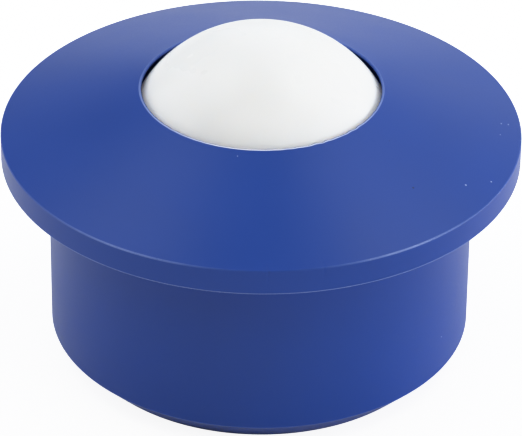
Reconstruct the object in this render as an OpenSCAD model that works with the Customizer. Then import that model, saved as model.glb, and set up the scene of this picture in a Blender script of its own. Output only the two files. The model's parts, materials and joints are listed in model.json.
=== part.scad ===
// Flanged ball transfer unit.
// A load ball rolls on a bed of small support balls, so that a load set on it can be pushed
// in any direction. The unit drops into a round hole and hangs there by its flange.
// Millimetres. +Z is up, and the origin is the centre of the flat foot.

/* [Load ball] */
// Diameter of the load ball
ball_d = 30; // [28:0.5:31]
// Height of the top of the load ball above the underside of the flange
ball_stand = 13.8; // [13.2:0.1:14.4]

/* [Housing] */
// Diameter of the flange
flange_d = 55; // [50:1:64]
// Height of the flange's straight rim
rim_h = 2.8; // [2:0.1:4]
// Height of the conical top, from the rim up to the opening
cone_rise = 5.1; // [4.2:0.1:5.8]
// Diameter of the round opening that the load ball looks out of
opening_d = 25.4; // [24:0.1:26.4]
// Diameter of the body below the flange
body_d = 45; // [44:0.5:48]
// Depth from the underside of the flange to the foot
body_depth = 23; // [22.5:0.5:26]
// Width and height of the lead-in chamfer round the foot
foot_chamfer = 3; // [1:0.1:3.5]
// Radius on the flange's upper edge
rim_round = 0.4; // [0.1:0.05:0.8]
// Radius on the flange's lower edge
flange_round = 0.15; // [0.1:0.05:0.8]
// Radius on the edge of the opening
opening_round = 0.15; // [0.05:0.05:0.25]
// Gap between the load ball and the pocket that holds it down
pocket_gap = 0.5; // [0.3:0.05:0.8]

/* [Support balls] */
// Diameter of a support ball
support_d = 4; // [3:0.1:4.1]
// Number of support balls in each row, from the row round the bottom ball outwards
row_counts = [6, 12, 17, 20];
// Room between one row of support balls and the next
row_gap = 0.15; // [0.1:0.01:0.3]
// Clearance of a support ball to the load ball, and again to its race
roll_clear = 0.05; // [0.02:0.01:0.1]

/* [Ball cup] */
// Thickness of the cup's wall at its rim
cup_wall = 1.2; // [0.9:0.05:1.4]
// Height of the cup's rim above the middle of the outermost row of support balls
cup_rim_over = 0.55; // [0.3:0.05:1]
// Clearance round the cup in the bore of the housing
cup_fit = 0.05; // [0.01:0.01:0.1]
// Height of the snap bead's middle above the foot
bead_z = 8; // [6:0.5:9]
// Radius of the snap bead's half-round section
bead_r = 0.45; // [0.3:0.05:0.6]
// Diameter of the drain hole in the bottom of the cup
drain_d = 3; // [2:0.1:3.4]
// Chamfer where the cup and the housing meet at the foot
seam_chamfer = 0.35; // [0.1:0.05:0.5]

/* [Retaining ring] */
// Thickness of the ring's lid over the outermost row of support balls
lid_t = 1.5; // [1:0.1:2]
// Clearance between the ring and the outermost row of support balls
ring_clear = 0.2; // [0.1:0.05:0.3]
// Gap between the ring's lid and the load ball
lid_gap = 0.45; // [0.3:0.05:0.8]
// Clearance of the ring under the shoulder of the housing
ring_play = 0.05; // [0.02:0.01:0.1]

/* [Hidden] */
$fn = 96;
// Number of straight steps in a rounded edge
ROUND_STEPS = 8;
// Extra length that takes a cut clear of a face
CUT = 1;

ball_r = ball_d / 2;
support_r = support_d / 2;
opening_r = opening_d / 2;
flange_r = flange_d / 2;
body_r = body_d / 2;

// heights
rim_top_z = body_depth + rim_h;
opening_z = rim_top_z + cone_rise;
ball_z = body_depth + ball_stand - ball_r;

// the support balls lie on a sphere round the middle of the load ball
orbit_r = ball_r + roll_clear + support_r;
race_r = orbit_r + support_r + roll_clear;
row_pitch = 2 * asin((support_r + row_gap / 2) / orbit_r);
outer_angle = row_pitch * len(row_counts);
outer_row_r = orbit_r * sin(outer_angle);
outer_row_z = ball_z - orbit_r * cos(outer_angle);

// the cup ends a little above the outermost row
cup_rim_z = outer_row_z + cup_rim_over;
race_rim_r = sqrt(pow(race_r, 2) - pow(ball_z - cup_rim_z, 2));
cup_r = race_rim_r + cup_wall;
bore_r = cup_r + cup_fit;

// the ring stands on the cup's rim and its lid closes over the outermost row
lid_z = outer_row_z + support_r + ring_clear;
ring_top_z = lid_z + lid_t;
ring_leg_r = outer_row_r + support_r + ring_clear;
lid_r = sqrt(pow(ball_r, 2) - pow(ball_z - ring_top_z, 2)) + lid_gap;
shoulder_z = ring_top_z + ring_play;
pocket_r = ball_r + pocket_gap;

HOUSING_BLUE = [0.17, 0.27, 0.57];
BALL_WHITE = [0.93, 0.93, 0.92];
STEEL = [0.72, 0.73, 0.75];
CUP_BLUE = [0.14, 0.23, 0.5];
RING_WHITE = [0.85, 0.85, 0.83];

// [row, number in the row] of every support ball; row 0 is the single ball at the bottom
SEATS = [[0, 0], for (row = [1 : len(row_counts)]) for (i = [0 : row_counts[row - 1] - 1]) [row, i]];

function unit(v) = v / norm(v);
function turned(v, a) = [v[0] * cos(a) - v[1] * sin(a), v[0] * sin(a) + v[1] * cos(a)];

// Points of an arc of radius r that rounds the corner b between its neighbours a and c.
function corner_arc(a, b, c, r) =
    let (
        to_a = unit(a - b),
        to_c = unit(c - b),
        half = acos(to_a * to_c) / 2,
        middle = b + unit(to_a + to_c) * r / sin(half),
        start = b + to_a * r / tan(half) - middle,
        side = to_a[0] * to_c[1] - to_a[1] * to_c[0] > 0 ? -1 : 1,
        sweep = side * (180 - 2 * half)
    )
    [for (i = [0 : ROUND_STEPS]) middle + turned(start, sweep * i / ROUND_STEPS)];

// A closed outline with its corners rounded: each corner is [radius from the axis, height, rounding].
function rounded_outline(corners) =
    let (n = len(corners))
    [for (i = [0 : n - 1])
        let (
            b = corners[i],
            here = [b[0], b[1]],
            last = corners[(i + n - 1) % n],
            next = corners[(i + 1) % n]
        )
        each (b[2] > 0 ? corner_arc([last[0], last[1]], here, [next[0], next[1]], b[2]) : [here])];

// A ring of half-round section on the wall of radius r, used as the snap bead and as its groove.
module bead_ring(r, bead) {
    translate([0, 0, bead_z])
        rotate_extrude()
            translate([r, 0])
                circle(r = bead, $fn = 32);
}

// The one-piece moulding: foot, body, flange, conical top and the lip that holds the ball down.
module housing() {
    outline = rounded_outline([
        [bore_r + seam_chamfer, 0, 0],
        [body_r - foot_chamfer, 0, 0],
        [body_r, foot_chamfer, 0],
        [body_r, body_depth, 0],
        [flange_r, body_depth, flange_round],
        [flange_r, rim_top_z, rim_round],
        [opening_r, opening_z, opening_round],
        [opening_r, shoulder_z, 0],
        [bore_r, shoulder_z, 0],
        [bore_r, seam_chamfer, 0],
    ]);
    color(HOUSING_BLUE)
        difference() {
            rotate_extrude() polygon(outline);
            translate([0, 0, ball_z]) sphere(r = pocket_r);
            translate([0, 0, shoulder_z - CUT]) cylinder(r = pocket_r, h = ball_z - shoulder_z + CUT);
            bead_ring(bore_r, bead_r);
        }
}

// The load ball.
module load_ball() {
    color(BALL_WHITE)
        translate([0, 0, ball_z]) sphere(r = ball_r);
}

// The cup that closes the foot and carries the race: a half-round bead on it snaps into the bore.
module ball_cup() {
    outline = [
        [0, 0],
        [cup_r - seam_chamfer, 0],
        [cup_r, seam_chamfer],
        [cup_r, cup_rim_z],
        [0, cup_rim_z],
    ];
    color(CUP_BLUE)
        difference() {
            union() {
                rotate_extrude() polygon(outline);
                bead_ring(cup_r, bead_r);
            }
            translate([0, 0, ball_z]) sphere(r = race_r);
            translate([0, 0, -CUT]) cylinder(d = drain_d, h = ball_z);
        }
}

// The ring that stands on the cup's rim and keeps the outermost row of support balls under its lid.
module retaining_ring() {
    outline = [
        [ring_leg_r, cup_rim_z],
        [cup_r, cup_rim_z],
        [cup_r, ring_top_z],
        [lid_r, ring_top_z],
        [lid_r, lid_z],
        [ring_leg_r, lid_z],
    ];
    color(RING_WHITE)
        rotate_extrude() polygon(outline);
}

// One support ball: rows lie row_pitch apart up the race, and each row is spread evenly round it.
module support_ball(seat) {
    row = seat[0];
    tilt = row * row_pitch;
    heading = row == 0 ? 0 : (seat[1] + (row % 2) / 2) * 360 / row_counts[row - 1];
    color(STEEL)
        translate([
            orbit_r * sin(tilt) * cos(heading),
            orbit_r * sin(tilt) * sin(heading),
            ball_z - orbit_r * cos(tilt),
        ])
            sphere(r = support_r, $fn = 48);
}

function support_name(seat) = str("support_ball_", seat[0], "_", seat[1] + 1);

housing();
load_ball();
ball_cup();
retaining_ring();
for (seat = SEATS)
    support_ball(seat);
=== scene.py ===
# %% [markdown]
# # A flanged ball transfer unit
# A ball transfer unit lets a heavy box or plate be pushed in any direction. A white plastic
# load ball looks out of a blue plastic housing and rolls on a bed of small steel balls
# inside it. The unit drops into a round hole in a table and hangs there by its flange.
#
# The solid model gives the sizes, the places and the joints. It is loaded first and stays
# as it is: everything below is measured from it and only dresses it.

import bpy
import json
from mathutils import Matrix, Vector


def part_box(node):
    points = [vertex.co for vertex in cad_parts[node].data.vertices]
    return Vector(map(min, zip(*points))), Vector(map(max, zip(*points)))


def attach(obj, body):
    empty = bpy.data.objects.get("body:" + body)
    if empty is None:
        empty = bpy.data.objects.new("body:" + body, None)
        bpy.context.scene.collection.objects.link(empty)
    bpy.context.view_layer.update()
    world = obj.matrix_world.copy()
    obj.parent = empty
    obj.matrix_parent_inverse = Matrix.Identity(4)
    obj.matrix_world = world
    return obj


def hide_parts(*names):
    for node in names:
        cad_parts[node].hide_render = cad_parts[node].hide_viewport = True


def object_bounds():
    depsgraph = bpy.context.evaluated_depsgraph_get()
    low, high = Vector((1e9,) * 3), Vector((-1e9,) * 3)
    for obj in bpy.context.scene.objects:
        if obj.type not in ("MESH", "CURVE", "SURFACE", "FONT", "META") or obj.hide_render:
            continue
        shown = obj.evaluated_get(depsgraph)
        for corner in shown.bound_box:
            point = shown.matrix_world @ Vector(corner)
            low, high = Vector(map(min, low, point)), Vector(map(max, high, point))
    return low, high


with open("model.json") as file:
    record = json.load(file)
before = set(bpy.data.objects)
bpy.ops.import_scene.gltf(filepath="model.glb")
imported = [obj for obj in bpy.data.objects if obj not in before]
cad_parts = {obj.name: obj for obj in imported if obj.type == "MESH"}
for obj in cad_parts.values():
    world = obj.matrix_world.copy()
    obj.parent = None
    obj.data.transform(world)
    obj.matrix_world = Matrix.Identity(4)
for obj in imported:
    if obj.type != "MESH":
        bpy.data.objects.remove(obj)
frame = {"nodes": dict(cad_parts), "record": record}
cad_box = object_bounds()

# %% [markdown]
# ## Sizes that everything shares
# The mounts of the record are the faces that a fitter would measure: the straight body and
# the underside of the flange. The boxes of the solid pieces give the rest, such as the
# middle of the load ball. Blender works in metres, so a value in millimetres is written
# with MM behind it.

# %% Measure the unit
import json
import math

import bpy
import numpy as np
from mathutils import Matrix

MM = 0.001
mounts = {mount["name"]: mount for mount in frame["record"]["mounts"]}
body_r = mounts["body"]["dims"]["r_mm"] * MM
flange_z = mounts["flange_seat"]["pos_m"][2]
flange_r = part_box("housing")[1].x
ball_low, ball_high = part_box("load_ball")
ball_r = (ball_high.z - ball_low.z) / 2
ball_z = (ball_high.z + ball_low.z) / 2
ring_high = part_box("retaining_ring")[1]
cup_rim_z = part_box("ball_cup")[1].z
support_low, support_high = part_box("support_ball_0_1")
support_r = (support_high.z - support_low.z) / 2
print(f"body r {body_r:.4f}, flange r {flange_r:.4f}, load ball r {ball_r:.4f} at {ball_z:.4f}")

# %% [markdown]
# ## Rounding an outline
# Nearly every piece of this unit is round about one upright axis, like a part from a lathe
# or from a turned mould. So one pair of tools makes them all: an outline in the plane
# (distance from the axis, height), and a skin that carries it round the axis.
#
# The outline starts as a few corners, each with its own rounding. Real edges are never
# quite sharp, and the small rounding is what catches a thin line of light. Blender's Bevel
# modifier could round them too, but each edge here needs its own radius, and an arc is
# easy to work out. A point just before and just after each arc keeps the face next to it
# flat under smooth shading.

# %% Round the corners of an outline
ARC_STEPS = 8  # straight steps in each rounded corner
HOLD = 0.05 * MM  # how far from an arc the point lies that keeps the next face flat


def unit(vector):
    """The same direction with length 1."""
    return vector / np.linalg.norm(vector)


def rounded_outline(corners):
    """Outline points (n, 3) of radius, height and paleness, from corners of radius, height,
    rounding and paleness.

    A rounded corner is an arc that touches both of its sides. Its middle lies on the line
    that halves the corner, rounding / sin(half the corner's angle) away from it, and the
    arc turns from one touching point to the other by 180 degrees less the corner's angle.
    """
    corners = np.array(corners, float)
    points = []
    for before, here, after in zip(np.roll(corners, 1, 0), corners, np.roll(corners, -1, 0)):
        corner, rounding, pale = here[:2], here[2], here[3]
        if rounding == 0:
            points.append([[*corner, pale]])
            continue
        to_before, to_after = unit(before[:2] - corner), unit(after[:2] - corner)
        half = math.acos(np.clip(to_before @ to_after, -1, 1)) / 2
        reach = rounding / math.tan(half)
        middle = corner + unit(to_before + to_after) * rounding / math.sin(half)
        start = corner + to_before * reach - middle
        side = -1 if to_before[0] * to_after[1] - to_before[1] * to_after[0] > 0 else 1
        turn = side * (math.pi - 2 * half) * np.linspace(0, 1, ARC_STEPS + 1)
        points.append([[*(corner + to_before * (reach + HOLD)), 0]])
        points.append(np.stack([
            middle[0] + start[0] * np.cos(turn) - start[1] * np.sin(turn),
            middle[1] + start[0] * np.sin(turn) + start[1] * np.cos(turn),
            np.full_like(turn, pale),
        ], axis=1))
        points.append([[*(corner + to_after * (reach + HOLD)), 0]])
    return np.concatenate(points)


# %% [markdown]
# ## Turning the outline into a skin
# Light shows every flat on a smooth round part. The long stretches of an outline therefore
# get extra points, and the skin gets 360 strips round the axis, so that neither the rim
# nor a highlight shows a corner.

# %% Fill the long stretches of an outline
def filled(outline, step, closed=True):
    """The same outline with points added, so that no stretch is longer than step."""
    ends = np.roll(outline, -1, 0) if closed else outline[1:]
    starts = outline if closed else outline[:-1]
    parts = []
    for start, end in zip(starts, ends):
        count = max(1, math.ceil(np.linalg.norm((end - start)[:2]) / step))
        share = np.arange(count)[:, None] / count
        parts.append(start + (end - start) * share)
    if not closed:
        parts.append(outline[-1:])
    return np.concatenate(parts)


# %% Carry an outline round the axis
def turns(count):
    """The angles of count even strips round the axis."""
    return np.arange(count) * 2 * math.pi / count


def turned_skin(name, outline, closed=True, angles=turns(360), middle=(0, 0), uneven=None):
    """A piece that is round about an upright axis through middle.

    Point (r, z) of the outline goes to (r cos a, r sin a, z) for every angle a. A closed
    outline gives a ring-shaped skin. An open outline begins and ends on the axis, and each
    end is closed by a fan of triangles at one pole. uneven(a, r, z) may return small
    changes of r, for an edge that isn't quite true, and a share for pale, the painted
    highlight on an edge, which is stronger in some places than in others.
    """
    around = len(angles)
    circles = outline if closed else outline[1:-1]
    a, r = np.meshgrid(angles, circles[:, 0])
    z = np.repeat(circles[:, 1:2], around, axis=1)
    pale = np.repeat(circles[:, 2:3], around, axis=1).ravel()
    if uneven is not None:
        more_r, glint_share = uneven(a, r, z)
        r, pale = r + more_r, pale * glint_share.ravel()
    points = np.stack([r * np.cos(a), r * np.sin(a), z], axis=2).reshape(-1, 3)
    index = np.arange(len(points)).reshape(-1, around)
    low, high = (index, np.roll(index, -1, 0)) if closed else (index[:-1], index[1:])
    quads = np.stack([low, np.roll(low, -1, 1), np.roll(high, -1, 1), high], axis=2)
    faces = quads.reshape(-1, 4).tolist()
    if not closed:
        bottom = np.full(around, len(points))
        points = np.concatenate([points, [[0, 0, outline[0, 1]], [0, 0, outline[-1, 1]]]])
        pale = np.append(pale, [0, 0])
        faces += np.stack([bottom, np.roll(index[0], -1), index[0]], axis=1).tolist()
        faces += np.stack([bottom + 1, index[-1], np.roll(index[-1], -1)], axis=1).tolist()
    points[:, :2] += middle
    mesh = bpy.data.meshes.new(name)
    mesh.from_pydata(points.tolist(), [], faces)
    mesh.polygons.foreach_set("use_smooth", np.ones(len(mesh.polygons), bool))
    shares = mesh.attributes.new("pale", "FLOAT", "POINT").data
    shares.foreach_set("value", pale.astype(np.float32))
    piece = bpy.data.objects.new(name, mesh)
    bpy.context.scene.collection.objects.link(piece)
    return piece


def placed(piece, node, body, material):
    """Lets a finished piece stand for a node of the solid model, on its body, in its slot."""
    piece.data.materials.append(material)
    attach(piece, body)
    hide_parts(node)
    return piece


# %% [markdown]
# ## The blue plastic of the housing
# The housing is moulded in blue plastic with a satin skin. Under a soft light such a skin
# is never one flat colour: the mould was turned, so it leaves very faint circles, the skin
# has a fine grain, the blue drifts a little from place to place, and handling leaves a few
# specks of dust. The thin pale lines along the edges are painted highlights.
#
# A picture could be wrapped round the piece, but noise worked out from the place of each
# point needs no picture, has no seam and stays sharp at any distance. The small tools of
# this cell only save typing: each adds one node and joins its inputs.

# %% Tools for laying out material nodes
def new_material(name):
    """An empty material with its shader, and the node that gives the place on the piece."""
    material = bpy.data.materials.new(name)
    material.use_nodes = True
    nodes = material.node_tree.nodes
    return material, nodes["Principled BSDF"], nodes.new("ShaderNodeTexCoord").outputs["Object"]


def add(material, kind, settings=None, **inputs):
    """Adds a node. settings sets its options, and each input is a value or another socket.

    An input goes by its name in Blender, with _ for a space, or by its number as n0, n1...
    """
    made = material.node_tree.nodes.new(kind)
    for key, value in (settings or {}).items():
        setattr(made, key, value)
    for key, value in inputs.items():
        name = key.replace("_", " ")
        socket = made.inputs[int(name[1:])] if name[1:].isdigit() else made.inputs[name]
        if isinstance(value, bpy.types.NodeSocket):
            material.node_tree.links.new(value, socket)
        else:
            socket.default_value = value
    return made


def join(material, source, target):
    """Joins an output to an input."""
    material.node_tree.links.new(source, target)


def maths(material, operation, *values):
    """One step of arithmetic on numbers or sockets."""
    return add(material, "ShaderNodeMath", {"operation": operation},
               **{f"n{i}": value for i, value in enumerate(values)}).outputs[0]


def noise(material, place, size, detail=2.0, roughness=0.5):
    """Smooth noise from 0 to 1 whose blotches are about size metres across."""
    return add(material, "ShaderNodeTexNoise", Vector=place, Scale=1 / size,
               Detail=detail, Roughness=roughness).outputs["Fac"]


def spread(material, value, low, high, start=0.3, end=0.7):
    """Takes a value from start..end to low..high and holds it there beyond."""
    return add(material, "ShaderNodeMapRange", Value=value, From_Min=start, From_Max=end,
               To_Min=low, To_Max=high).outputs["Result"]


def blend(material, share, first, second):
    """Mixes two colours."""
    mix = add(material, "ShaderNodeMix", {"data_type": "RGBA"})
    # a Mix node has sockets for every kind of value, and these are the ones for colours
    for number, value in ((0, share), (6, first), (7, second)):
        socket = mix.inputs[number]
        if isinstance(value, bpy.types.NodeSocket):
            join(material, value, socket)
        else:
            socket.default_value = value
    return mix.outputs[2]


def shade(colour, factor):
    """A colour made darker or lighter, with alpha 1."""
    return (*(min(1.0, part * factor) for part in colour), 1.0)


print("material tools ready")

# %% [markdown]
# The rings of a turned mould depend only on the distance from the axis on a flat or
# conical face, and only on the height on an upright wall. The sum of the two covers both:
# sin(2 pi x (distance + height) / pitch). The grain and the rings go together into a Bump node,
# which bends the light as if the skin had that relief, at a depth of a few thousandths of
# a millimetre.

# %% Lay out the turned rings and the specks
SPECK_R = 0.09 * MM


def turned_rings(material, place, pitch):
    """Faint rings round the axis, from -1 to 1, one every pitch metres."""
    parts = add(material, "ShaderNodeSeparateXYZ", Vector=place)
    x, y, z = (parts.outputs[i] for i in range(3))
    distance = maths(material, "SQRT", maths(
        material, "ADD", maths(material, "MULTIPLY", x, x), maths(material, "MULTIPLY", y, y)))
    along = maths(material, "ADD", distance, z)
    return maths(material, "SINE", maths(material, "MULTIPLY", along, 2 * math.pi / pitch))


def specks(material, place, places):
    """1 inside each of a few small round specks, 0 elsewhere. A speck is a place in
    millimetres and a factor for its radius, and it fades over the outer half of it."""
    found = 0.0
    for *centre, factor in places:
        away = add(material, "ShaderNodeVectorMath", {"operation": "DISTANCE"}, n0=place,
                   n1=tuple(part * MM for part in centre)).outputs["Value"]
        radius = SPECK_R * factor
        speck = spread(material, away, 1, 0, 0.5 * radius, radius)
        found = maths(material, "MAXIMUM", found, speck)
    return found


print("speck radius:", SPECK_R / MM, "mm")

# %% [markdown]
# The thin pale lines along the edges are painted highlights: a lighter colour is mixed into
# the blue where an edge would catch the lamps. It is mixed in two steps, first a light blue
# and then, where the painted highlight is strongest, nearly white. The skins carry how pale
# each of their points is in the attribute "pale".

# %% Mix the housing's blue plastic
HOUSING_BLUE = (0.001, 0.042, 0.299)
# painted highlights: the light blue and the near white mixed into an edge where it would catch
# the lamps
PAINTED_GLINT_BLUE = (0.25, 0.4, 0.95)
PAINTED_GLINT_WHITE = (0.95, 0.97, 1.0)
DUST_BLUE = (0.4, 0.5, 0.8)
DRIFT_SIZE = 14 * MM  # blotches in which the blue drifts
GRAIN_SIZE = 0.22 * MM  # grain of the satin skin
GLINT_PATCH_SIZE = 1.5 * MM  # patches in which the painted highlight on an edge is stronger or weaker
RING_PITCH = 0.31 * MM  # from one turned ring to the next
GLINT_GLOSS = 0.2  # how much smoother an edge is under its painted highlight
RING_SHARE = 0.12  # height of the rings next to the grain
SKIN_RELIEF = 0.01 * MM  # depth of grain and rings together


def moulded_plastic(name, colour, satin, specular, light_specks=(), dark_specks=()):
    """Satin moulded plastic: drifting colour, fine grain, faint turned rings, painted
    highlights on the edges.
    """
    material, shader, place = new_material(name)
    drift = noise(material, place, DRIFT_SIZE, 3)
    grain = noise(material, place, GRAIN_SIZE, 3, 0.6)
    rings = turned_rings(material, place, RING_PITCH)
    tone = blend(material, spread(material, drift, 0, 1),
                 shade(colour, 0.96), shade(colour, 1.04))
    edge = add(material, "ShaderNodeAttribute", {"attribute_name": "pale"}).outputs["Fac"]
    # painted highlight: where the attribute "pale" says, in patches, the edges get light blue
    # and then near white, as if they caught the lamps, and a little smoother
    painted_glint = maths(material, "MULTIPLY", edge,
                   spread(material, noise(material, place, GLINT_PATCH_SIZE), 0.8, 1))
    tone = blend(material, painted_glint, tone, (*PAINTED_GLINT_BLUE, 1))
    tone = blend(material, maths(material, "POWER", painted_glint, 2), tone, (*PAINTED_GLINT_WHITE, 1))
    if light_specks:
        tone = blend(material, specks(material, place, light_specks), tone, (*DUST_BLUE, 1))
    if dark_specks:
        tone = blend(material, specks(material, place, dark_specks), tone, shade(colour, 0.3))
    join(material, tone, shader.inputs["Base Color"])
    rough = maths(material, "ADD", spread(material, drift, satin - 0.03, satin + 0.03),
                  spread(material, grain, -0.02, 0.02))
    rough = maths(material, "SUBTRACT", rough, maths(material, "MULTIPLY", painted_glint, GLINT_GLOSS))
    join(material, rough, shader.inputs["Roughness"])
    relief = maths(material, "ADD", grain, maths(material, "MULTIPLY", rings, RING_SHARE))
    bump = add(material, "ShaderNodeBump", Height=relief, Strength=0.25, Distance=SKIN_RELIEF)
    join(material, bump.outputs["Normal"], shader.inputs["Normal"])
    shader.inputs["Specular IOR Level"].default_value = specular
    return material


# x, y, z in millimetres, factor for the radius
LIGHT_SPECKS = [(25.34, 0.23, 26.54, 1), (26.11, 0.48, 26.28, 1), (25.13, -2.09, 26.58, 0.8),
                (21.1, -12.5, 26.81, 1.3), (23.81, -10.91, 26.25, 1.1),
                (-2.38, -13.37, 30.58, 1), (19.28, -11.59, 7.3, 0.9)]
DARK_SPECKS = [(15.6, -14.8, 27.85, 1.7), (13.24, -8.81, 29.78, 0.8), (-21.2, -7.53, 9.55, 1)]
housing_plastic = moulded_plastic("housing plastic", HOUSING_BLUE, 0.33, 0.38,
                                  LIGHT_SPECKS, DARK_SPECKS)
print(housing_plastic.name, len(housing_plastic.node_tree.nodes), "nodes")

# %% [markdown]
# ## The housing
# The housing is one moulding: the body that drops into the hole, the flange that carries
# it, the shallow cone that leads a load onto the ball, and the lip that keeps the ball in.
# Inside, a ball-shaped pocket leaves half a millimetre round the load ball, and below it
# the bore takes the ball cup.
#
# Going once round its section in one closed outline gives the outside and the inside
# together, with no edge left open. A point on the pocket at elevation e lies at
# (pocket radius x cos e, ball height + pocket radius x sin e).

# %% Draw the housing's section
RIM_HEIGHT = 2.8 * MM
CONE_RISE = 5.1 * MM
FOOT_CHAMFER = 3 * MM
OPENING_R = 12.64 * MM
POCKET_GAP = 0.5 * MM
SEAM_CHAMFER = 0.35 * MM
FIT = 0.05 * MM
BEAD_Z = 8 * MM
BEAD_R = 0.45 * MM
POCKET_POINTS = 24
LONGEST = 1 * MM  # the longest stretch between two points of an outline

bore_r = ring_high.x + FIT
shoulder_z = ring_high.z + FIT
pocket_r = ball_r + POCKET_GAP


def corner_rows(r, z):
    """Corners with no rounding, for a stretch of outline that is already a curve."""
    return np.stack([r, z, 0 * r, 0 * r], axis=1)


def half_round(r, steps=8):
    """A half-round bead of radius BEAD_R on a wall at distance r, drawn upwards."""
    turn = np.linspace(-math.pi / 2, math.pi / 2, steps + 1)
    return corner_rows(r + BEAD_R * np.cos(turn), BEAD_Z + BEAD_R * np.sin(turn))


def housing_outline():
    """The closed section: foot, body, flange, cone, lip, pocket, shoulder and bore."""
    rim_z = flange_z + RIM_HEIGHT
    top_z = rim_z + CONE_RISE
    elevation = np.linspace(math.acos(OPENING_R / pocket_r), 0, POCKET_POINTS)
    pocket = corner_rows(pocket_r * np.cos(elevation), ball_z + pocket_r * np.sin(elevation))
    groove = half_round(bore_r)[::-1]
    # distance from the axis, height, rounding and paleness of each corner; paleness is the
    # share of painted highlight
    return rounded_outline([
        (bore_r + SEAM_CHAMFER, 0, 0.05 * MM, 0),
        (body_r - FOOT_CHAMFER, 0, 0.15 * MM, 0.1),
        (body_r, FOOT_CHAMFER, 0.12 * MM, 0.12),
        (body_r, flange_z, 0.1 * MM, 0),
        (flange_r, flange_z, 0.09 * MM, 0.32),
        (flange_r, rim_z, 0.14 * MM, 0.35),
        (OPENING_R, top_z, 0.19 * MM, 1),
        *pocket,
        (pocket_r, shoulder_z, 0.1 * MM, 0),
        (bore_r, shoulder_z, 0.1 * MM, 0),
        *groove,
        (bore_r, SEAM_CHAMFER, 0.05 * MM, 0),
    ])


section = filled(housing_outline(), LONGEST)
highest = section[:, 1].max() / MM
print("housing section:", len(section), "points, highest", round(highest, 3), "mm")

# %% [markdown]
# Three small faults make the housing look made rather than drawn. The opening isn't quite
# round: at the front and the back its edge lies a quarter of a millimetre nearer to the
# axis than at the sides. The edge is slightly wavy where the tool chattered, mostly at the
# front right. The rim carries two tiny nicks at the front. And the edges carry painted
# highlights of uneven strength: the lip of the opening most at the front, the rim most on
# its two shoulders.
#
# The oval takes LIP_OVAL x sin(angle) squared off the radius and fades out along the cone.
# The wave is a sum of three sines of the angle that fades out at both ends. A nick is a
# small hollow, deep x exp(-(distance / width) squared), and the same bell shape, laid
# over the angle, says how strong the painted highlight on an edge is. Round each nick
# the skin gets closer strips, because a nick is narrower than a strip.

# %% Describe the faults of the housing
LIP_OVAL = 0.24 * MM
OVAL_FADE = 1.5 * MM  # how far from the lip the oval fades out
LIP_NEAR, RIM_NEAR = 0.3 * MM, 0.4 * MM  # how far the faults of lip and rim reach
WAVE_DEEP = 0.11 * MM
WAVES = [(-58, 28, 1.0), (-128, 18, 0.3)]  # middle and half width in degrees, strength
NICKS = [(-88.2, 0.28, 0.07 * MM), (-76.4, 0.35, 0.04 * MM)]  # degrees, half width, depth
# painted highlights on rim and lip, strongest where these bells lie: middle and half width in
# degrees, strength
RIM_PAINTED_GLINTS = [(-57, 14, 0.9), (-120, 17, 0.8), (0, 30, 0.3), (180, 30, 0.3)]
LIP_PAINTED_GLINTS = [(-90, 58, 0.95)]
LIP_GLINT_LEAST, RIM_GLINT_LEAST = 0.1, 0.04  # share of painted highlight on lip and rim all round
AT_EDGE = 0.1  # a point belongs to an edge where the bell round the edge is above this


def apart(a, b):
    """The angle from b to a, the short way round."""
    return (a - b + math.pi) % (2 * math.pi) - math.pi


def bells(a, places):
    """A sum of bell shapes over the angle, each with its middle, half width and strength."""
    return sum(strength * np.exp(-(apart(a, math.radians(middle)) / math.radians(wide)) ** 2)
               for middle, wide, strength in places)


def housing_faults(a, r, z):
    """Changes of radius for the oval, wavy opening and the nicked rim, and the share of
    painted highlight on each edge."""
    rim_z = flange_z + RIM_HEIGHT
    from_lip = (r - OPENING_R) ** 2 + (z - rim_z - CONE_RISE) ** 2
    near_lip = np.exp(-from_lip / LIP_NEAR**2)
    near_rim = np.exp(-((r - flange_r) ** 2 + (z - rim_z) ** 2) / RIM_NEAR**2)
    oval = -LIP_OVAL * np.sin(a) ** 2 * np.exp(-from_lip / OVAL_FADE**2)
    wave = (np.sin(52 * a) + 0.6 * np.sin(71 * a + 1) + 0.5 * np.sin(37 * a + 2)) / 1.4
    more_r = oval + WAVE_DEEP * wave * bells(a, WAVES) * near_lip - bells(a, NICKS) * near_rim
    # painted highlight: how pale the lip and the rim are painted at each angle
    lip_glint = LIP_GLINT_LEAST + bells(a, LIP_PAINTED_GLINTS)
    rim_glint = RIM_GLINT_LEAST + bells(a, RIM_PAINTED_GLINTS)
    glint_share = np.where(near_lip > AT_EDGE, lip_glint, np.where(near_rim > AT_EDGE, rim_glint, 1))
    return more_r, glint_share


print("nicks:", len(NICKS), "waves:", len(WAVES))

# %% Carry the housing's section round
NICK_STRIPS = 16  # closer strips round each nick
closer = [math.radians(middle % 360) + math.radians(wide) * np.linspace(-2, 2, NICK_STRIPS + 1)
          for middle, wide, _ in NICKS]
housing_angles = np.unique(np.concatenate([turns(360), *closer]).round(7))
housing = turned_skin("housing_moulding", section, angles=housing_angles, uneven=housing_faults)
placed(housing, "housing", "housing", housing_plastic)
print("housing:", len(housing.data.polygons), "faces")

# %% [markdown]
# ## The load ball
# The load ball is ground from solid white plastic, so it is a true ball with a smooth,
# half-glossy skin. Light goes a little way into such plastic before it comes out again,
# which is what the shader's subsurface weight does: shadows on the ball get a soft edge.
#
# Blender's own UV sphere would do for the shape. Carrying a half circle round the axis
# gives the same ball from the tools that are already here, with both poles closed.

# %% Grind the load ball
BALL_WHITE = (0.965, 0.97, 0.975)
BLOTCH_SIZE = 9 * MM  # blotches in which the white drifts
GRINDING_SIZE = 0.15 * MM  # grinding marks
GRINDING_DEPTH = 0.004 * MM
LIGHT_DEPTH = 4 * MM  # how far light goes into the plastic


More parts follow.
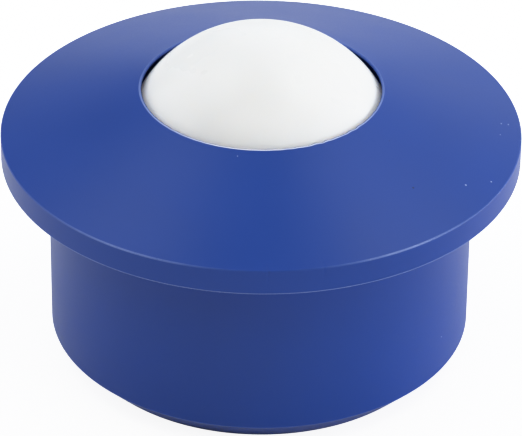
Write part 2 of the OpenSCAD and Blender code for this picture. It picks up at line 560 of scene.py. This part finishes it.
def ball_skin(name, radius, centre, steps, around):
    """A ball: the half circle (radius x cos e, height + radius x sin e) carried round."""
    elevation = np.linspace(-math.pi / 2, math.pi / 2, steps + 1)
    outline = np.stack([radius * np.cos(elevation), centre[2] + radius * np.sin(elevation),
                        np.zeros_like(elevation)], axis=1)
    return turned_skin(name, outline, closed=False, angles=turns(around), middle=centre[:2])


def ground_plastic(name, colour, gloss):
    """White plastic ground smooth: a hint of depth, faint grinding marks."""
    material, shader, place = new_material(name)
    drift = noise(material, place, BLOTCH_SIZE, 3)
    fine = noise(material, place, GRINDING_SIZE, 2)
    tone = blend(material, drift, shade(colour, 0.98), shade(colour, 1.02))
    join(material, tone, shader.inputs["Base Color"])
    rough = spread(material, drift, gloss - 0.06, gloss + 0.06, 0, 1)
    join(material, rough, shader.inputs["Roughness"])
    bump = add(material, "ShaderNodeBump", Height=fine, Strength=0.1, Distance=GRINDING_DEPTH)
    join(material, bump.outputs["Normal"], shader.inputs["Normal"])
    shader.inputs["Subsurface Weight"].default_value = 0.5
    shader.inputs["Subsurface Radius"].default_value = (1, 0.9, 0.8)
    shader.inputs["Subsurface Scale"].default_value = LIGHT_DEPTH
    return material


ball_plastic = ground_plastic("load ball plastic", BALL_WHITE, 0.28)
load_ball = ball_skin("load_ball_skin", ball_r, (0, 0, ball_z), steps=120, around=240)
placed(load_ball, "load_ball", "load_ball", ball_plastic)
print("load ball:", len(load_ball.data.polygons), "faces")

# %% [markdown]
# ## The ball cup
# The cup closes the foot of the housing. Its hollow is the race that the small balls run
# in, a half-round bead on its wall snaps into the housing, and a drain hole lets dirt and
# water out. It never shows from above, but a buyer turns the unit over, so the foot is
# finished too. A point of the race at distance r lies at
# ball height - sqrt(race radius squared - r squared).

# %% Draw and turn the cup
ROLL_CLEAR = 0.05 * MM
DRAIN_R = 1.5 * MM
RACE_POINTS = 36
CUP_BLUE = (0.010, 0.038, 0.22)

cup_r = ring_high.x
race_r = ball_r + 2 * support_r + 2 * ROLL_CLEAR


def cup_outline():
    """The closed section: underside, wall with its bead, rim, race and drain hole."""
    rim_r = math.sqrt(race_r**2 - (ball_z - cup_rim_z) ** 2)
    r = np.linspace(rim_r, DRAIN_R, RACE_POINTS)
    race = corner_rows(r, ball_z - np.sqrt(race_r**2 - r**2))
    # distance from the axis, height, rounding and paleness of each corner; paleness is the
    # share of painted highlight
    return rounded_outline([
        (DRAIN_R, 0, 0.2 * MM, 0.15),
        (cup_r - SEAM_CHAMFER, 0, 0.08 * MM, 0.15),
        (cup_r, SEAM_CHAMFER, 0.08 * MM, 0),
        *half_round(cup_r),
        (cup_r, cup_rim_z, 0.1 * MM, 0),
        *race,
    ])


cup_plastic = moulded_plastic("cup plastic", CUP_BLUE, 0.42, 0.35)
ball_cup = turned_skin("ball_cup_moulding", filled(cup_outline(), LONGEST))
placed(ball_cup, "ball_cup", "housing", cup_plastic)
print("ball cup:", len(ball_cup.data.polygons), "faces")

# %% [markdown]
# ## The retaining ring
# A plain ring of uncoloured plastic stands on the rim of the cup. Its lid keeps the
# outermost row of small balls from climbing out, and it ends just short of the load ball.

# %% Draw and turn the retaining ring
RING_WHITE = (0.7, 0.7, 0.66)
LID_HEIGHT = 1.5 * MM
RING_GAP = 0.2 * MM
LID_GAP = 0.45 * MM


def ring_outline():
    """The closed section: foot of the leg, outer wall, top of the lid, its edge, underside."""
    top_z = ring_high.z
    lid_z = top_z - LID_HEIGHT
    outer_row_z = lid_z - RING_GAP - support_r
    orbit_r = ball_r + ROLL_CLEAR + support_r
    leg_r = math.sqrt(orbit_r**2 - (ball_z - outer_row_z) ** 2) + support_r + RING_GAP
    lid_r = math.sqrt(ball_r**2 - (ball_z - top_z) ** 2) + LID_GAP
    return rounded_outline([
        # the last number of each corner is its paleness, the share of painted highlight on that
        # edge
        (leg_r, cup_rim_z, 0.08 * MM, 0), (cup_r, cup_rim_z, 0.08 * MM, 0),
        (cup_r, top_z, 0.1 * MM, 0.1), (lid_r, top_z, 0.1 * MM, 0.1),
        (lid_r, lid_z, 0.1 * MM, 0.1), (leg_r, lid_z, 0.1 * MM, 0),
    ])


ring_plastic = moulded_plastic("ring plastic", RING_WHITE, 0.5, 0.5)
retaining_ring = turned_skin("retaining_ring_moulding", filled(ring_outline(), LONGEST))
placed(retaining_ring, "retaining_ring", "housing", ring_plastic)
print("retaining ring:", len(retaining_ring.data.polygons), "faces")

# %% [markdown]
# ## The bed of steel balls
# Fifty-six hardened steel balls lie in rows between the load ball and the race. Each is a
# small polished ball with a skin of its own. Their places come straight from the boxes of
# the solid balls, so the loop holds no sizes at all.

# %% Polish the support balls
STEEL = (0.62, 0.63, 0.65)
CLOUD_SIZE = 2 * MM  # blotches in which the steel's tone drifts
TRACK_SIZE = 0.5 * MM  # tracks left by rolling
TRACK_DEPTH = 0.002 * MM


def polished_steel(name, colour):
    """Hardened steel polished by rolling: bright metal with fine tracks."""
    material, shader, place = new_material(name)
    tracks = noise(material, place, TRACK_SIZE, 4, 0.7)
    cloud = noise(material, place, CLOUD_SIZE, 2)
    tone = blend(material, spread(material, cloud, 0, 1),
                 shade(colour, 0.93), shade(colour, 1.04))
    join(material, tone, shader.inputs["Base Color"])
    join(material, spread(material, tracks, 0.1, 0.24), shader.inputs["Roughness"])
    bump = add(material, "ShaderNodeBump", Height=tracks, Strength=0.1, Distance=TRACK_DEPTH)
    join(material, bump.outputs["Normal"], shader.inputs["Normal"])
    shader.inputs["Metallic"].default_value = 1
    return material


support_steel = polished_steel("support ball steel", STEEL)
support_nodes = sorted(name for name in frame["nodes"] if name.startswith("support_ball"))
for node in support_nodes:
    low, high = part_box(node)
    small_ball = ball_skin(node.replace("support", "steel"), support_r, (low + high) / 2,
                           steps=20, around=32)
    placed(small_ball, node, "support_balls", support_steel)
print("support balls:", len(support_nodes))

# %% [markdown]
# ## Floor
# The unit stands on a plain pale floor that is wide enough to fill the background from any
# side. A floor that is lit only by the lamps would look grey behind a white ball, so a
# second sheet lies just above it and glows. It is transparent as well, so shadows still
# show through it, and only the camera sees it, so it throws no light at the unit.

# %% Lay the floor
FLOOR_PALE = (0.9, 0.9, 0.9)
FLOOR_ROUGH = 0.9
FLOOR_HALF = 3.0
GLOW = 1.0
GLOW_LIFT = 0.005 * MM


def floor_sheet(name, z):
    """A flat square sheet, 2 x FLOOR_HALF on a side, at height z."""
    mesh = bpy.data.meshes.new(name)
    corners = [(x * FLOOR_HALF, y * FLOOR_HALF, z)
               for x, y in ((-1, -1), (1, -1), (1, 1), (-1, 1))]
    mesh.from_pydata(corners, [], [(0, 1, 2, 3)])
    sheet = bpy.data.objects.new(name, mesh)
    bpy.context.scene.collection.objects.link(sheet)
    return sheet


floor = floor_sheet("floor", cad_box[0].z)
floor_paint, floor_shader, _ = new_material("floor paint")
floor_shader.inputs["Base Color"].default_value = (*FLOOR_PALE, 1)
floor_shader.inputs["Roughness"].default_value = FLOOR_ROUGH
floor.data.materials.append(floor_paint)

glow = floor_sheet("floor_glow", cad_box[0].z + GLOW_LIFT)
glow_light, glow_shader, _ = new_material("floor glow")
glow_nodes = glow_light.node_tree.nodes
glow_nodes.remove(glow_shader)
lit = add(glow_light, "ShaderNodeEmission", Color=(1, 1, 1, 1), Strength=GLOW)
clear = add(glow_light, "ShaderNodeBsdfTransparent")
both = add(glow_light, "ShaderNodeAddShader")
join(glow_light, lit.outputs[0], both.inputs[0])
join(glow_light, clear.outputs[0], both.inputs[1])
join(glow_light, both.outputs[0], glow_nodes["Material Output"].inputs["Surface"])
glow.data.materials.append(glow_light)
glow.visible_diffuse = glow.visible_glossy = glow.visible_transmission = False
glow.visible_shadow = False
print("floor", 2 * FLOOR_HALF, "m wide")

# %% [markdown]
# ## Light
# Soft studio light comes from large lamps. Each lamp here is an area light that looks at
# the unit: walls of light at the sides and behind, softer ones high above, and two small
# ones at the right. A slight tint in each keeps the blue plastic from looking the same on
# every side.

# %% Set up the lamps
def soft_lamp(name, azimuth, elevation, distance, width, height, power, colour=(1, 1, 1)):
    """A rectangular lamp that faces the unit. Azimuth 0 is the front, and it grows towards
    the right, seen from the front."""
    lamp = bpy.data.lights.new(name, "AREA")
    lamp.shape = "RECTANGLE"
    lamp.size, lamp.size_y, lamp.energy, lamp.color = width, height, power, colour
    holder = bpy.data.objects.new(name, lamp)
    bpy.context.scene.collection.objects.link(holder)
    a, e = math.radians(azimuth), math.radians(elevation)
    back = np.array([math.sin(a) * math.cos(e), -math.cos(a) * math.cos(e), math.sin(e)])
    right = np.array([math.cos(a), math.sin(a), 0])
    up = np.cross(back, right)
    holder.matrix_world = Matrix([[*row, place] for row, place in zip(
        np.stack([right, up, back], axis=1), back * distance)] + [[0, 0, 0, 1]])
    holder.visible_camera = False
    return holder


# name, azimuth, elevation, distance, width, height, power, colour
LAMPS = [
    ("right wall", 90, 25, 0.9, 1.2, 0.7, 2.1, (1, 0.98, 0.99)),
    ("left wall", -105, 25, 0.9, 0.9, 0.7, 2.6, (0.93, 0.95, 1)),
    ("back wall", 180, 28, 0.9, 0.45, 0.7, 1.1, (0.65, 0.79, 1)),
    ("back right wall", 150, 28, 0.9, 0.45, 0.7, 0.48, (0.95, 1, 0.7)),
    ("high front", 0, 62, 0.9, 0.9, 0.4, 1.97, (1, 0.99, 0.97)),
    ("high right", 110, 62, 0.9, 0.6, 0.4, 1.38, (0.96, 1, 0.98)),
    ("high left", -110, 62, 0.9, 0.6, 0.4, 1.26, (0.84, 0.9, 1)),
    ("right front", 55, 20, 0.9, 0.4, 0.5, 0.88, (1, 0.96, 0.8)),
    ("right low", 95, 7, 0.9, 0.9, 0.22, 4.3, (0.8, 0.89, 1)),
    ("back top", 180, 60, 0.9, 0.9, 0.4, 0.52, (0.77, 0.89, 1)),
]
for lamp in LAMPS:
    soft_lamp(*lamp)
print("lamps:", len(LAMPS))

# %% [markdown]
# The world fills in the rest. It is a pale room that is brighter behind and at the sides
# than in front: from each side it shines with colour x max(0, direction . side) squared,
# and the sum over the sides is its light in any direction. The camera itself sees plain
# white beyond the floor, so that no horizon shows behind the unit.

# %% Light the surroundings
SURROUNDINGS = [  # side, colour
    ((1, 0, 0), (0.349, 0.337, 0.317)),
    ((-1, 0, 0), (0.487, 0.455, 0.354)),
    ((0, 1, 0), (0.412, 0.456, 0.502)),
    ((0, 0, 1), (0.241, 0.239, 0.233)),
]
BACKDROP_GLOW = 2.0
world = bpy.data.worlds.new("pale surroundings")
world.use_nodes = True
backdrop = world.node_tree.nodes["Background"]
looking = add(world, "ShaderNodeTexCoord").outputs["Generated"]
light = (0, 0, 0)
for side, colour in SURROUNDINGS:
    facing = add(world, "ShaderNodeVectorMath", {"operation": "DOT_PRODUCT"},
                 n0=looking, n1=side)
    share = maths(world, "POWER", maths(world, "MAXIMUM", facing.outputs["Value"], 0), 2)
    light = add(world, "ShaderNodeVectorMath", {"operation": "MULTIPLY_ADD"},
                n0=share, n1=colour, n2=light).outputs["Vector"]
join(world, light, backdrop.inputs["Color"])
seen = add(world, "ShaderNodeBackground", Color=(1, 1, 1, 1), Strength=BACKDROP_GLOW)
from_camera = add(world, "ShaderNodeLightPath").outputs["Is Camera Ray"]
either = add(world, "ShaderNodeMixShader", Fac=from_camera)
join(world, backdrop.outputs[0], either.inputs[1])
join(world, seen.outputs[0], either.inputs[2])
join(world, either.outputs[0], world.node_tree.nodes["World Output"].inputs["Surface"])
bpy.context.scene.world = world
print("sides of the surroundings that shine:", len(SURROUNDINGS))

# %% [markdown]
# ## Camera
# A long lens far above and in front sees the unit nearly without perspective. The camera's
# right, its up and the opposite of where it looks are the columns of its rotation.

# %% Place the camera
LENS_MM, SENSOR_MM = 270.52, 36
NEAREST, FARTHEST = 0.01, 20  # the camera sees nothing nearer or farther, in metres
CAMERA_PLACE = (0.000053, -0.354262, 0.240707)
CAMERA_RIGHT = (0.99994026, 0.00580998, 0.00925916)
CAMERA_UP = (-0.01093071, 0.53807376, 0.84282688)
CAMERA_LOOK = (0.00008532, 0.84287773, -0.53810514)

camera_data = bpy.data.cameras.new("camera")
camera_data.lens, camera_data.sensor_width = LENS_MM, SENSOR_MM
camera_data.clip_start, camera_data.clip_end = NEAREST, FARTHEST
camera = bpy.data.objects.new("camera", camera_data)
camera.matrix_world = Matrix([[right, up, -look, place] for right, up, look, place in zip(
    CAMERA_RIGHT, CAMERA_UP, CAMERA_LOOK, CAMERA_PLACE)] + [[0, 0, 0, 1]])
bpy.context.scene.collection.objects.link(camera)
bpy.context.scene.camera = camera
print("camera at", CAMERA_PLACE)

# %% [markdown]
# "Standard" shows colours as they are, with no film look. Only the highlights are rolled
# off, as a real camera does: above 0.7 the curve of ROLL_OFF climbs more slowly than the
# light, so the white ball keeps its shading and doesn't melt into the white floor. The
# curve runs from 0 to 1, so the light is divided by the light that counts as full white.

# %% Roll off the highlights
FULL_WHITE = 2.0
ROLL_OFF = [(0.25, 0.25), (0.5, 0.5), (0.7, 0.7), (0.85, 0.82), (1, 0.89), (1.3, 0.95),
            (1.6, 0.98)]  # light, what the picture shows

shown = bpy.context.scene.view_settings
shown.view_transform = "Standard"
shown.use_curve_mapping = True
shown.curve_mapping.white_level = [FULL_WHITE] * 3
shown.curve_mapping.extend = "HORIZONTAL"
response = shown.curve_mapping.curves[3].points
for light, result in ROLL_OFF:
    response.new(light / FULL_WHITE, result)
shown.curve_mapping.update()
print("points of the curve:", len(response))
